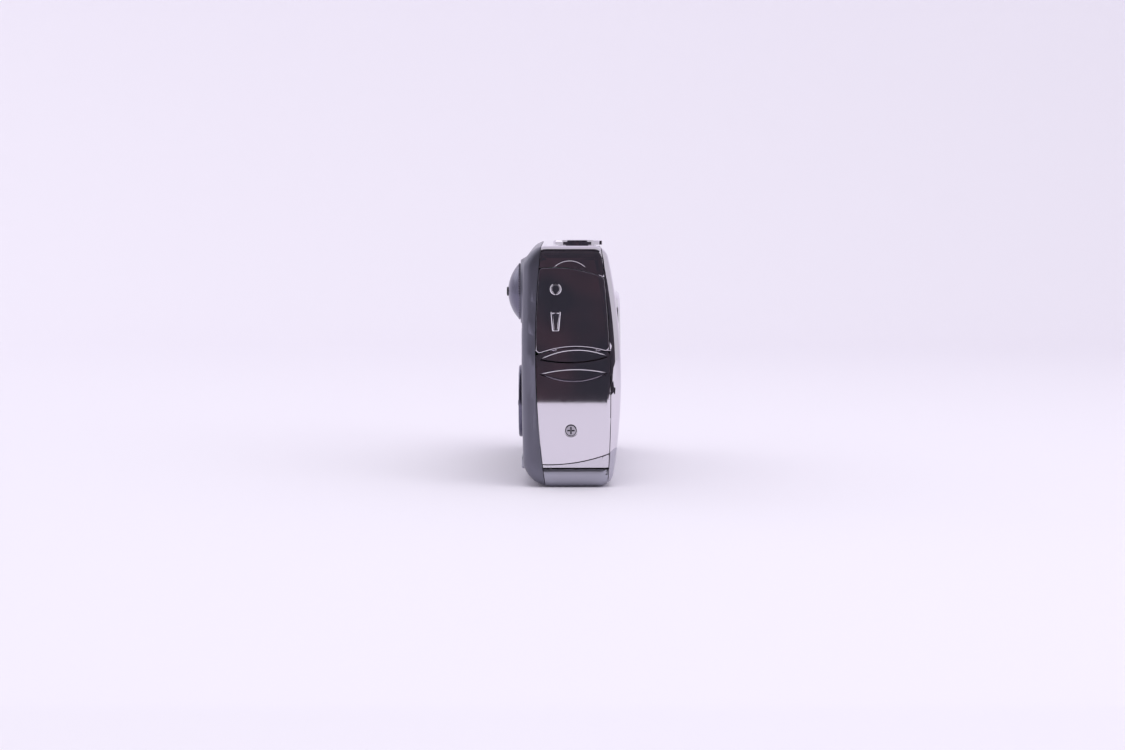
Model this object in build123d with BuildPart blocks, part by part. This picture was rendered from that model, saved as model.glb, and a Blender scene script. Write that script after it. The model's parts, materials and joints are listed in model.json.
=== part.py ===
"""Pocket digital camera, built as an assembly of separate pieces.

Millimetres. +Z is up and the camera stands on z = 0. The lens looks along -Y, the screen faces +Y, and the hand
grip with its connector door is the end at -X. The origin is the centre of the flat base.
"""

import os
from math import cos, pi, radians, sin, sqrt

from build123d import *

# ---- overall form -------------------------------------------------------------------------------------------
WIDTH = 89.5  # grip end to far end
HEIGHT = 55.9  # base to top face
WALL = 1.2  # thickness of every outer cover
END_ROUND = 3.2  # rounding round the rim of each end
SEAM = 0.16  # open line between two outer covers
FRONT_FOOT, FRONT_BULGE, FRONT_TOP = -9.4, -11.65, -8.0  # front face: at the base, fullest, at the top
REAR_FOOT, REAR_BULGE, REAR_TOP = 10.9, 11.45, 10.95  # rear face, likewise
FRONT_BULGE_Z, REAR_BULGE_Z = 25.0, 28.0
CORNER_REAR_FOOT, CORNER_REAR_TOP = 6.5, 5.5
CORNER_FRONT_TOP, CORNER_FRONT_FOOT = 3.5, 3.7
SEAM_REAR = ((5.9, 0.0), (8.2, 30.0), (6.9, HEIGHT))  # rear cover's edge: base, middle, top
SEAM_FRONT = ((-8.5, 0.0), (-9.2, 22.0), (-6.9, HEIGHT))  # front cover's edge

GRIP_X, FAR_X = -WIDTH / 2, WIDTH / 2  # the two end faces
INSIDE_GRIP = GRIP_X + WALL
INSIDE_TOP = HEIGHT - WALL

# ---- grip end: lines across it ------------------------------------------------------------------------------
DOOR_TOP = (4.0, 51.0, 30.0)  # connector door's top edge: y and z of the arc's crest, radius
DOOR_LOW = (-1.2, 32.6, 24.0)  # its lower edge
FOOT_LINE = (5.0, 5.4, -38.6)  # curved line near the foot, hollow side up
DOOR_CORNER = 0.9
SLOT_TOP = (-1.5, 32.0, 18.0)  # strap slots: upper rim,
BAR_TOP = (0.5, 28.8, -32.0)  # bar's upper edge,
BAR_LOW = (-1.2, 27.5, 32.0)  # bar's lower edge,
SLOT_LOW = (-0.5, 24.65, -19.3)  # lower rim
STRAP_LOW_Y, STRAP_HIGH_Y, STRAP_REACH = -8.3, 7.1, 9.3
STRAP_DEPTH = 3.4
STRAP_BAR_T = 1.5
STRAP_BACK = 0.8
NOTCH_Y, NOTCH_W, NOTCH_H, NOTCH_DEPTH = 0.3, 7.8, 1.9, 0.75  # finger-nail notch over the door
SIDE_SCREW_Y, SIDE_SCREW_Z = 0.0, 13.3

# ---- screws -------------------------------------------------------------------------------------------------
SCREW_R, SCREW_HEAD_R, SCREW_HEAD_H = 0.8, 1.35, 0.6
SCREW_SEAT_R, SCREW_SEAT_DEPTH = 1.55, 0.7
SCREW_CLEAR = 0.08
SCREW_LENGTH = 2.6
CROSS_W, CROSS_L, CROSS_DEPTH = 0.34, 1.7, 0.35

# ---- fits ---------------------------------------------------------------------------------------------------
RUN = 0.05  # radial clearance of a shaft that turns
SLIDE_GAP = 0.15  # round a button or a barrel that slides
REST_GAP = 0.1  # between parts that are seated side by side

# ---- battery, card and their door ---------------------------------------------------------------------------
BATTERY = (30.0, 6.8, 39.5)
BATTERY_X, BATTERY_Y, BATTERY_Z = -36.4, -7.0, 2.1  # lowest corner
HOLDER_WALL = 0.8
CARD = (24.0, 2.1, 32.0)
CARD_X, CARD_Y, CARD_Z = -33.5, 1.75, 2.2
BAY_DOOR_END = -5.0  # inner end of the battery door
BAY_DOOR_LIP = 4.25  # height of its upturned end
BAY_DOOR_SLOT = 0.4  # open line over that end
PIN_IN, PIN_Z = 0.95, 3.6  # hinge pin's axis: in from the end face, up from the base
PIN_R, PIN_KNUCKLE_R = 0.3, 0.55

# ---- lens ---------------------------------------------------------------------------------------------------
LENS_X, LENS_Z = 12.0, 27.0
LENS_FRONT = -12.5  # front plane of the retracted lens
RING_R, RING_IN_R = 16.4, 12.6
OUTER_R, INNER_R = 12.4, 11.45  # outer radii of the two barrels
BARREL_WALL = 0.55
CAM_R, CAM_IN_R = 13.4, 12.65
GEAR_MODULE, RING_TEETH, PINION_TEETH = 0.4, 72, 10
GEAR_WIDTH = 1.6
HOUSING_R, HOUSING_WALL = 16.2, 0.8
PINION_ANGLE = -40.0  # where the pinion sits round the lens
APERTURE_R = 4.2
BLADE_T, BLADE_R = 0.3, 4.9
BLADE_PIVOT = (8.0, 0.9)
FRONT_GLASS_R, FRONT_GLASS_T = 5.2, 2.6

# ---- controls -----------------------------------------------------------------------------------------------
DIAL_X, DIAL_Z, DIAL_R, DIAL_H = -33.6, 45.1, 6.5, 2.9
DIAL_BOSS_R, DIAL_BOSS_H = 7.4, 0.45
DIAL_SHAFT_R = 1.5
DIAL_CAP_R, DIAL_CAP_H = 1.05, 0.3
PAD_X, PAD_Z, PAD_R, PAD_IN_R, PAD_PROUD = -30.5, 19.0, 8.5, 3.7, 0.85
PAD_GAP = 0.25  # round the ring, which rocks two ways
SET_R = 3.5
KEY_L, KEY_W, KEY_PROUD = 6.0, 3.2, 0.4
KEY_Z, KEY_X = 5.4, (-36.4, -24.6)
PRINT_X, PRINT_Z, PRINT_R = -21.5, 33.5, 2.4
ZOOM_X, ZOOM_Y, ZOOM_R, ZOOM_IN_R, ZOOM_H = -29.5, -1.5, 5.7, 3.85, 1.1
ZOOM_NECK_R = 4.5
SHUTTER_R = 3.7
POWER_X, POWER_R, POWER_TRAVEL = -13.0, 2.3, 0.5
TOP_BOARD_Z, TOP_BOARD_T = 50.6, 0.6

# ---- screen, finder and flash -------------------------------------------------------------------------------
SCREEN_X, SCREEN_Z = 10.0, 24.5
SCREEN_W, SCREEN_H = 47.0, 37.0
SCREEN_T = 2.0
FINDER_X, FINDER_Z = 7.0, 48.9
FINDER_W, FINDER_H = 9.0, 6.2
FLASH_X, FLASH_Z, FLASH_W, FLASH_H = -15.0, 47.3, 13.0, 6.0
LAMP_X, LAMP_Z, LAMP_R = -3.2, 48.3, 1.8
CAPACITOR_R, CAPACITOR_X, CAPACITOR_Y = 4.3, 36.2, -4.0
BOARD_T = 0.8
CHASSIS_T = 0.7
SOCKET_R, SOCKET_DEPTH, SOCKET_BODY_R = 2.6, 5.5, 4.6  # tripod socket: 1/4-20 at its minor diameter

SOCKET_Y, SOCKET_LIP_R = -1.25, 4.0
MIC_X, MIC_Z = 34.0, 46.5
SPEAKER_X = 24.0
EYEPIECE_W, EYEPIECE_H = 7.6, 5.2

FAR = 240.0  # longer than the camera, for cuts that go right through
os.makedirs("parts", exist_ok=True)


# ---- shared shapes ------------------------------------------------------------------------------------------
def keep(piece, name):
    """Labels a finished piece and writes it under the same name."""
    piece.label = name
    export_step(piece, f"parts/{name}.step")


def arc_height(arc, y):
    """Height at y of an arc given by its crest and its radius; a negative radius is hollow side up."""
    crest_y, crest_z, radius = arc
    drop = abs(radius) - sqrt(radius**2 - (y - crest_y) ** 2)
    return crest_z - drop if radius > 0 else crest_z + drop


def three_points(arc, low_y, high_y, shift):
    """Start, middle and end of that arc between two y, raised by shift."""
    middle = (low_y + high_y) / 2
    return [(y, arc_height(arc, y) + shift) for y in (low_y, middle, high_y)]


def body(inset):
    """The camera's outer form; with an inset, the same form that much further in on every side."""
    with BuildPart() as form:
        with BuildSketch(Plane.YZ.offset(GRIP_X + inset)) as side:  # the sketch's x is world Y, its y world Z
            with BuildLine():
                Line((FRONT_FOOT, 0), (REAR_FOOT, 0))
                ThreePointArc((REAR_FOOT, 0), (REAR_BULGE, REAR_BULGE_Z), (REAR_TOP, HEIGHT))
                Line((REAR_TOP, HEIGHT), (FRONT_TOP, HEIGHT))
                ThreePointArc((FRONT_TOP, HEIGHT), (FRONT_BULGE, FRONT_BULGE_Z), (FRONT_FOOT, 0))
            make_face()
            corners = side.vertices().group_by(Axis.Y)
            fillet(corners[0].sort_by(Axis.X)[-1], CORNER_REAR_FOOT)
            corners = side.vertices().group_by(Axis.Y)
            fillet(corners[0].sort_by(Axis.X)[0], CORNER_FRONT_FOOT)
            corners = side.vertices().group_by(Axis.Y)
            fillet(corners[-1].sort_by(Axis.X)[-1], CORNER_REAR_TOP)
            corners = side.vertices().group_by(Axis.Y)
            fillet(corners[-1].sort_by(Axis.X)[0], CORNER_FRONT_TOP)
            if inset:
                offset(amount=-inset)
        extrude(amount=WIDTH - 2 * inset)
        fillet(form.faces().filter_by(Axis.X).edges(), END_ROUND - inset)
    return form.part


def seam_arc(seam, shift):
    """A long seam's three points, moved sideways by shift."""
    return [(y + shift, z) for y, z in seam]


def between(front, rear, front_shift, rear_shift):
    """Everything between two long seams, over the whole width and past the top and the base."""
    low, high = -WALL, HEIGHT + WALL
    front_pts, rear_pts = seam_arc(front, front_shift), seam_arc(rear, rear_shift)
    with BuildPart() as slab:
        with BuildSketch(Plane.YZ.offset(-FAR / 2)):
            with BuildLine():
                Line((front_pts[0][0], low), (rear_pts[0][0], low))
                Line((rear_pts[0][0], low), rear_pts[0])
                ThreePointArc(*rear_pts)
                Line(rear_pts[2], (rear_pts[2][0], high))
                Line((rear_pts[2][0], high), (front_pts[2][0], high))
                Line((front_pts[2][0], high), front_pts[2])
                ThreePointArc(*reversed(front_pts))
                Line(front_pts[0], (front_pts[0][0], low))
            make_face()
        extrude(amount=FAR)
    return slab.part


def curtain(lower, upper, low_x, high_x, half=13.0):
    """Everything between two lines across the end face, each an arc and its shift; None is open ended."""
    low_pts = three_points(lower[0], -half, half, lower[1]) if lower else None
    high_pts = three_points(upper[0], -half, half, upper[1]) if upper else None
    with BuildPart() as slab:
        with BuildSketch(Plane.YZ.offset(low_x)):
            with BuildLine():
                if low_pts:
                    ThreePointArc(*low_pts)
                    start, end = low_pts[0], low_pts[2]
                else:
                    start, end = (-half, -WALL), (half, -WALL)
                    Line(start, end)
                if high_pts:
                    Line(end, high_pts[2])
                    ThreePointArc(*reversed(high_pts))
                    Line(high_pts[0], start)
                else:
                    Polyline(end, (half, HEIGHT + WALL), (-half, HEIGHT + WALL), start)
            make_face()
        extrude(amount=high_x - low_x)
    return slab.part


def bar_y(x, z, radius, low_y, high_y):
    """A round bar along Y."""
    with BuildPart() as bar:
        with BuildSketch(Plane.XZ.offset(-high_y)):
            with Locations((x, z)):
                Circle(radius)
        extrude(amount=high_y - low_y)
    return bar.part


def block(low, high):
    """A box between two corners."""
    with BuildPart() as box:
        with Locations(tuple((low[i] + high[i]) / 2 for i in range(3))):
            Box(*[high[i] - low[i] for i in range(3)])
    return box.part


def screw(length):
    """A cross-head screw standing on its tip: axis Z, head's underside at z = 0, shank below."""
    with BuildPart() as made:
        with BuildSketch():
            Circle(SCREW_HEAD_R)
        extrude(amount=SCREW_HEAD_H)
        chamfer(made.faces().sort_by(Axis.Z)[-1].edges(), 0.2)
        with BuildSketch():
            Circle(SCREW_R)
        extrude(amount=-length)
        chamfer(made.faces().sort_by(Axis.Z)[0].edges(), 0.2)
        with BuildSketch(Plane.XY.offset(SCREW_HEAD_H)):
            Rectangle(CROSS_L, CROSS_W)
            Rectangle(CROSS_W, CROSS_L)
        extrude(amount=-CROSS_DEPTH, mode=Mode.SUBTRACT)
    return made.part


outer, inner = body(0), body(WALL)
shell = outer - inner
band = shell & between(SEAM_FRONT, SEAM_REAR, SEAM / 2, -SEAM / 2)


def surface_y(x, z, front):
    """Where a line along Y at (x, z) meets the outer form, on the front or at the rear."""
    probe = Edge.make_line((x, -FAR, z), (x, FAR, z)) & outer
    ys = [v.Y for v in probe.vertices()]
    return min(ys) if front else max(ys)


def seam_y(seam, z):
    """A long seam's y at height z."""
    (y0, z0), (y1, z1), (y2, z2) = seam
    low, high = (z - z1) * (z - z2), (z - z0) * (z - z1)
    return y0 * low / ((z0 - z1) * (z0 - z2)) + y1 * (z - z0) * (z - z2) / ((z1 - z0) * (z1 - z2)) + (
        y2 * high / ((z2 - z0) * (z2 - z1)))


PAD_Y = surface_y(PAD_X, PAD_Z, False)
DIAL_Y = surface_y(DIAL_X, DIAL_Z, False) + DIAL_BOSS_H
KEY_Y = surface_y(KEY_X[0], KEY_Z, False)
PRINT_Y = surface_y(PRINT_X, PRINT_Z, False)
SCREEN_Y = surface_y(SCREEN_X, SCREEN_Z, False)
LENS_FACE = surface_y(LENS_X, LENS_Z, True)
REAR_INSIDE = min(REAR_TOP, REAR_FOOT) - WALL  # nowhere inside is the rear cover nearer than this
FRONT_INSIDE = LENS_FACE + WALL  # inner face of the front cover at the lens


def panel_y(x, z, width, height, low_y, high_y, corner):
    """A plate with rounded corners, standing square to Y."""
    with BuildPart() as plate:
        with BuildSketch(Plane.XZ.offset(-high_y)):
            with Locations((x, z)):
                RectangleRounded(width, height, corner)
        extrude(amount=high_y - low_y)
    return plate.part


def disc_z(x, y, radius, low_z, high_z):
    """A round plate or hole along Z."""
    with BuildPart() as plate:
        with BuildSketch(Plane.XY.offset(low_z)):
            with Locations((x, y)):
                Circle(radius)
        extrude(amount=high_z - low_z)
    return plate.part


# ---- outer covers -------------------------------------------------------------------------------------------


def make_front_cover():
    """Front shell, with the openings for the lens, the flash, the finder and the lamp."""
    with BuildPart() as cover:
        add(shell - between(SEAM_FRONT, SEAM_REAR, -SEAM / 2, FAR))
        add(bar_y(LENS_X, LENS_Z, RING_R + REST_GAP, -FAR, 0), mode=Mode.SUBTRACT)
        add(panel_y(FLASH_X, FLASH_Z, FLASH_W + 2 * REST_GAP, FLASH_H + 2 * REST_GAP, -FAR, 0, 1.1),
            mode=Mode.SUBTRACT)
        add(panel_y(FINDER_X, FINDER_Z, FINDER_W + 2 * REST_GAP, FINDER_H + 2 * REST_GAP, -FAR, 0, 1.1),
            mode=Mode.SUBTRACT)
        add(bar_y(LAMP_X, LAMP_Z, LAMP_R + REST_GAP, -FAR, 0), mode=Mode.SUBTRACT)
        with BuildSketch(Plane.XZ.offset(-FRONT_INSIDE)):
            with Locations((MIC_X, MIC_Z)):
                with GridLocations(1.1, 0, 3, 1):
                    Circle(0.25)
        extrude(amount=-20, both=True, mode=Mode.SUBTRACT)
    return cover.part


def make_rear_cover():
    """Rear shell: raised boss under the mode dial, screen opening, holes for the keys, posts for its screws."""
    with BuildPart() as cover:
        add(shell - between(SEAM_FRONT, SEAM_REAR, -FAR, SEAM / 2))
        with BuildSketch(Plane.XZ.offset(-DIAL_Y)):
            with Locations((DIAL_X, DIAL_Z)):
                Circle(DIAL_BOSS_R)
        extrude(amount=DIAL_BOSS_H + 1, taper=-30)
        add(inner, mode=Mode.SUBTRACT)
        add(bar_y(DIAL_X, DIAL_Z, DIAL_SHAFT_R + RUN, 0, FAR), mode=Mode.SUBTRACT)
        add(bar_y(PAD_X, PAD_Z, PAD_R + PAD_GAP, 0, FAR), mode=Mode.SUBTRACT)
        add(bar_y(PRINT_X, PRINT_Z, PRINT_R + SLIDE_GAP, 0, FAR), mode=Mode.SUBTRACT)
        for x in KEY_X:
            hole = panel_y(x, KEY_Z, KEY_L + 2 * SLIDE_GAP, KEY_W + 2 * SLIDE_GAP, 0, FAR, 1.2)
            add(hole, mode=Mode.SUBTRACT)
        add(panel_y(SCREEN_X, SCREEN_Z, SCREEN_W + 2 * REST_GAP, SCREEN_H + 2 * REST_GAP, 0, FAR, 1.6),
            mode=Mode.SUBTRACT)
        add(panel_y(FINDER_X, FINDER_Z, EYEPIECE_W + 2 * REST_GAP, EYEPIECE_H + 2 * REST_GAP, 0, FAR, 1.1),
            mode=Mode.SUBTRACT)
    return cover.part


def make_top_cover():
    """Top strip, bent down over both ends; it carries the zoom ring, the power button and the speaker slots."""
    with BuildPart() as cover:
        add(band & curtain((DOOR_TOP, SEAM / 2), None, -FAR / 2, FAR / 2))
        add(disc_z(ZOOM_X, ZOOM_Y, ZOOM_NECK_R + SLIDE_GAP, INSIDE_TOP - 2, HEIGHT + 2), mode=Mode.SUBTRACT)
        add(disc_z(POWER_X, 0, POWER_R + SLIDE_GAP, INSIDE_TOP - 2, HEIGHT + 2), mode=Mode.SUBTRACT)
        with BuildSketch(Plane.XY.offset(HEIGHT)):
            with Locations((SPEAKER_X, 0)):
                with GridLocations(1.4, 0, 5, 1):
                    SlotOverall(5.0, 0.6, rotation=90)
        extrude(amount=-2 * WALL, mode=Mode.SUBTRACT)
        add(finger_notch(), mode=Mode.SUBTRACT)
    return cover.part


def finger_notch():
    """The finger-nail scoop in the top cover over the connector door: a crescent, deepest at the door."""
    crest = arc_height(DOOR_TOP, NOTCH_Y)
    rise = NOTCH_H + 1.0
    radius = ((NOTCH_W / 2) ** 2 + NOTCH_H**2) / (2 * NOTCH_H)
    with BuildPart() as scoop:
        with BuildSketch(Plane.YZ.offset(GRIP_X + NOTCH_DEPTH)):
            with Locations((NOTCH_Y, crest + NOTCH_H - radius)):
                Circle(radius)
        extrude(amount=-rise)
        with BuildSketch(Plane.YZ.offset(GRIP_X + NOTCH_DEPTH)):
            with Locations((NOTCH_Y, crest - radius)):
                Rectangle(3 * radius, 2 * radius)
        extrude(amount=-rise, mode=Mode.SUBTRACT)
    return scoop.part


def make_side_panel():
    """Panel of the grip end: two strap slots with a bar between, the pocket behind them, and a screw seat."""
    with BuildPart() as panel:
        add(band & curtain((FOOT_LINE, SEAM / 2), (DOOR_LOW, -SEAM / 2), GRIP_X - 1, INSIDE_GRIP))
        add(strap_space(STRAP_BACK, GRIP_X + 0.2, GRIP_X + STRAP_DEPTH + STRAP_BACK))
        add(strap_space(0, GRIP_X - 1, GRIP_X + STRAP_DEPTH), mode=Mode.SUBTRACT)
        add(curtain((BAR_LOW, 0), (BAR_TOP, 0), GRIP_X, GRIP_X + STRAP_BAR_T)
            & block((GRIP_X, STRAP_LOW_Y, 0), (0, STRAP_HIGH_Y, HEIGHT)))
        add(bar_x(SIDE_SCREW_Y, SIDE_SCREW_Z, SCREW_SEAT_R, GRIP_X - 1, GRIP_X + SCREW_SEAT_DEPTH),
            mode=Mode.SUBTRACT)
        add(bar_x(SIDE_SCREW_Y, SIDE_SCREW_Z, SCREW_R + SCREW_CLEAR, GRIP_X, INSIDE_GRIP + 1),
            mode=Mode.SUBTRACT)
    return panel.part


def strap_space(grow, low_x, high_x):
    """The almond between the outer rims of the strap slots, wider by grow, from low_x to high_x."""
    thin = min(grow, 0.45)  # the ceiling is thinner, because the connector door is just above
    whole = curtain((SLOT_LOW, -grow), (SLOT_TOP, thin), low_x, high_x, STRAP_REACH)
    return whole & block((low_x, STRAP_LOW_Y - grow, 0), (high_x, STRAP_HIGH_Y + grow, HEIGHT))


def bar_x(y, z, radius, low_x, high_x):
    """A round bar along X."""
    with BuildPart() as bar:
        with BuildSketch(Plane.YZ.offset(low_x)):
            with Locations((y, z)):
                Circle(radius)
        extrude(amount=high_x - low_x)
    return bar.part


def bay_cut(shift):
    """The space of the battery door: below its lip and out to its inner end, with shift to spare."""
    return block((-FAR, -FAR, -WALL), (BAY_DOOR_END + shift, FAR, BAY_DOOR_LIP + shift))


def make_base_cover():
    """Bottom strip from the battery door to the far end, bent up that end; the tripod socket opens in it."""
    with BuildPart() as cover:
        add(band & curtain(None, (FOOT_LINE, -SEAM / 2), BAY_DOOR_END + SEAM, FAR / 2))
        add(disc_z(LENS_X, SOCKET_Y, SOCKET_LIP_R + REST_GAP, -1, 2 * WALL), mode=Mode.SUBTRACT)
    return cover.part


def make_grip_foot():
    """Curved strip between the side panel and the battery door's upturned end."""
    with BuildPart() as strip:
        add(band & curtain(None, (FOOT_LINE, -SEAM / 2), GRIP_X - 1, INSIDE_GRIP))
        add(block((-FAR, -FAR, -WALL), (FAR, FAR, BAY_DOOR_LIP + BAY_DOOR_SLOT)), mode=Mode.SUBTRACT)
    return strip.part


def make_end_panel():
    """Panel of the far end, between the base cover and the top cover."""
    with BuildPart() as panel:
        add(band & curtain((FOOT_LINE, SEAM / 2), (DOOR_TOP, -SEAM / 2), FAR_X - WALL, FAR_X + 1))
        add(bar_x(SIDE_SCREW_Y, SIDE_SCREW_Z, SCREW_SEAT_R, FAR_X - SCREW_SEAT_DEPTH, FAR), mode=Mode.SUBTRACT)
        add(bar_x(SIDE_SCREW_Y, SIDE_SCREW_Z, SCREW_R + SCREW_CLEAR, 0, FAR), mode=Mode.SUBTRACT)
    return panel.part


keep(make_top_cover(), "top_cover")
keep(make_base_cover(), "base_cover")
keep(make_grip_foot(), "grip_foot")
keep(make_end_panel(), "end_panel")


# ---- connector door and what is behind it -------------------------------------------------------------------
HINGE_IN, HINGE_Z, TRUNNION_R = 0.28, 31.9, 0.18
TRUNNION_OUT = 0.3  # how far a stub reaches into the cover beside the door
DOOR_RELIEF_R = 0.44  # hollow in the side panel for the door's edge as it turns
DOOR_RELIEF_Y = (-5.7, 3.3)  # the door's edge passes clear of the panel between these
BEZEL_Z = (34.2, 49.0)
BEZEL_Y = (-5.6, 5.4)
BEZEL_DEPTH = 3.0
JACK_Y, JACK_Z, JACK_R = 0.0, 46.0, 1.75
USB_Z, USB_W, USB_H = 38.6, 7.7, 3.9


def trunnions(radius):
    """The connector door's two hinge stubs, or the holes for them, across the two long seams."""
    x = GRIP_X + HINGE_IN
    rear, front = seam_y(SEAM_REAR, HINGE_Z), seam_y(SEAM_FRONT, HINGE_Z)
    out = TRUNNION_OUT
    rear_stub = bar_y(x, HINGE_Z, radius, rear - 0.8, rear + out)
    return rear_stub + bar_y(x, HINGE_Z, radius, front - out, front + 0.9)


def make_port_door():
    """Connector door: a plate of the grip end that swings out about two stubs at its lower corners."""
    with BuildPart() as door:
        add(band & curtain((DOOR_LOW, SEAM / 2), (DOOR_TOP, -SEAM / 2), GRIP_X - 1, INSIDE_GRIP))
        fillet(door.edges().filter_by(Axis.X), DOOR_CORNER)
        low_edges = door.faces().sort_by(Axis.X)[0].edges()
        fillet(low_edges, 0.2)
        add(trunnions(TRUNNION_R))
    return door.part


def make_port_bezel():
    """Moulded block behind the connector door, bored for the two sockets."""
    with BuildPart() as bezel:
        add(block((INSIDE_GRIP + 0.3, BEZEL_Y[0], BEZEL_Z[0]),
                  (INSIDE_GRIP + 0.3 + BEZEL_DEPTH, BEZEL_Y[1], BEZEL_Z[1])))
        add(bar_x(JACK_Y, JACK_Z, JACK_R + REST_GAP, -FAR, 0), mode=Mode.SUBTRACT)
        add(block((-FAR, -USB_H / 2 - REST_GAP, USB_Z - USB_W / 2 - REST_GAP),
                  (0, USB_H / 2 + REST_GAP, USB_Z + USB_W / 2 + REST_GAP)), mode=Mode.SUBTRACT)
    return bezel.part


def make_av_jack():
    """Round jack socket."""
    start = INSIDE_GRIP + 0.5
    with BuildPart() as jack:
        add(bar_x(JACK_Y, JACK_Z, JACK_R, start, start + 5))
        add(bar_x(JACK_Y, JACK_Z, 1.25, start - 1, start + 4.4), mode=Mode.SUBTRACT)
    return jack.part


def make_usb_socket():
    """Five-pin socket: a folded shell with its tongue."""
    start, low, high = INSIDE_GRIP + 0.5, USB_Z - USB_W / 2, USB_Z + USB_W / 2
    with BuildPart() as socket:
        add(block((start, -USB_H / 2, low), (start + 5, USB_H / 2, high)))
        add(block((start - 1, -USB_H / 2 + 0.35, low + 0.35), (start + 4.5, USB_H / 2 - 0.35, high - 0.35)),
            mode=Mode.SUBTRACT)
        add(block((start + 0.6, -0.4, low + 1.6), (start + 4.6, 0.4, high - 1.6)))
    return socket.part


# ---- battery door -------------------------------------------------------------------------------------------
PIN_X = GRIP_X + PIN_IN
ARM_T, ARM_H, ARM_END = 0.6, 0.9, -34.0
FRONT_ARM = (-8.35, -8.35 + ARM_T)
REAR_ARM = (5.1, 5.1 + ARM_T)
PIN_TOP = PIN_Z + PIN_IN  # the door's upturned end is rounded about the pin up to this height


def make_battery_door():
    """Battery door: bottom strip of the grip end with an upturned end, rounded about its hinge pin."""
    with BuildPart() as door:
        add(band & bay_cut(0))
        corner = block((GRIP_X - 1, -FAR, PIN_Z), (PIN_X, FAR, FAR)) - bar_y(PIN_X, PIN_Z, PIN_IN, -FAR, FAR)
        add(corner, mode=Mode.SUBTRACT)
        add(bar_y(PIN_X, PIN_Z, PIN_KNUCKLE_R, FRONT_ARM[1] + SLIDE_GAP, REAR_ARM[0] - SLIDE_GAP))
        for low, high in (FRONT_ARM, REAR_ARM):
            add(block((PIN_X - 0.62, low - SLIDE_GAP, PIN_Z - 0.62), (PIN_X + 3, high + SLIDE_GAP, PIN_TOP + 1)),
                mode=Mode.SUBTRACT)
        add(bar_y(PIN_X, PIN_Z, PIN_R + RUN, -FAR, FAR), mode=Mode.SUBTRACT)
    return door.part


def make_door_slide():
    """Sliding frame that carries the battery door: two arms with pin eyes, joined by a cross bar."""
    with BuildPart() as frame:
        for low, high in (FRONT_ARM, REAR_ARM):
            add(block((PIN_X, low, PIN_Z - ARM_H / 2), (ARM_END, high, PIN_Z + ARM_H / 2)))
            add(bar_y(PIN_X, PIN_Z, PIN_KNUCKLE_R, low, high))
        bar_low = PIN_X + PIN_KNUCKLE_R + 0.4
        add(block((bar_low, FRONT_ARM[0], PIN_Z - ARM_H / 2), (bar_low + 0.9, REAR_ARM[1], PIN_Z + ARM_H / 2)))
        add(bar_y(PIN_X, PIN_Z, PIN_R + 0.01, -FAR, FAR), mode=Mode.SUBTRACT)
    return frame.part


def make_hinge_pin():
    """Steel pin of the battery door."""
    with BuildPart() as pin:
        add(bar_y(PIN_X, PIN_Z, PIN_R, FRONT_ARM[0], REAR_ARM[1]))
    return pin.part


# ---- battery compartment ------------------------------------------------------------------------------------
def pocket(corner, size, gap):
    """The box of a battery or card, from its lowest corner, with a gap on every side."""
    low = [c - gap for c in corner]
    return block(low, [c + s + gap for c, s in zip(corner, size)])


BATTERY_AT, CARD_AT = (BATTERY_X, BATTERY_Y, BATTERY_Z), (CARD_X, CARD_Y, CARD_Z)
HOLDER_LOW = (BATTERY_X - HOLDER_WALL, BATTERY_Y - HOLDER_WALL + 0.1, WALL + 0.65)
HOLDER_HIGH = (BATTERY_X + BATTERY[0] + HOLDER_WALL, CARD_Y + CARD[1] + 0.6, BATTERY_Z + BATTERY[2] + 1.6)


def make_battery_holder():
    """Frame with a bay for the battery and a slot for the card, open at the base; ledges guide the slide."""
    with BuildPart() as holder:
        add(block(HOLDER_LOW, HOLDER_HIGH))
        add(pocket(BATTERY_AT, BATTERY, REST_GAP) + pocket((BATTERY_X, BATTERY_Y, -5), BATTERY, REST_GAP),
            mode=Mode.SUBTRACT)
        add(pocket(CARD_AT, CARD, REST_GAP) + pocket((CARD_X, CARD_Y, -5), CARD, REST_GAP), mode=Mode.SUBTRACT)
        ledge_z = PIN_Z + ARM_H / 2 + SLIDE_GAP
        add(block((HOLDER_LOW[0], FRONT_ARM[0], ledge_z), (ARM_END + 3, HOLDER_LOW[1], ledge_z + 0.6)))
        add(block((HOLDER_LOW[0], HOLDER_HIGH[1], ledge_z), (ARM_END + 3, REAR_ARM[1], ledge_z + 0.6)))
        add(make_battery_terminals(), mode=Mode.SUBTRACT)
        low, high = LATCH_Y
        add(block((BATTERY_X + BATTERY[0] - 1, low - REST_GAP, 0), (FAR, high + REST_GAP, LATCH_Z[1] + REST_GAP)),
            mode=Mode.SUBTRACT)
    return holder.part


LATCH_Y, LATCH_Z = (-4.5, -2.5), (WALL + 0.2, WALL + 0.75)


def make_battery_latch():
    """Sprung catch: its tongue lies under the battery's edge, and its upright stands beside the holder."""
    side = HOLDER_HIGH[0] + REST_GAP
    with BuildPart() as latch:
        add(block((BATTERY_X + BATTERY[0] - 0.8, LATCH_Y[0], LATCH_Z[0]), (side + 0.8, LATCH_Y[1], LATCH_Z[1])))
        add(block((side, LATCH_Y[0], LATCH_Z[0]), (side + 0.8, LATCH_Y[1], 7.0)))
    return latch.part


def make_battery():
    """Rechargeable pack with its contact pads at the upper end."""
    with BuildPart() as pack:
        add(pocket(BATTERY_AT, BATTERY, 0))
        fillet(pack.edges().filter_by(Axis.Z), 0.8)
        with BuildSketch(Plane.XY.offset(BATTERY_Z + BATTERY[2])):
            with Locations((BATTERY_X + BATTERY[0] / 2, BATTERY_Y + BATTERY[1] / 2)):
                with GridLocations(4.0, 0, 3, 1):
                    Rectangle(2.4, 2.0)
        extrude(amount=-0.3, mode=Mode.SUBTRACT)
    return pack.part


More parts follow.
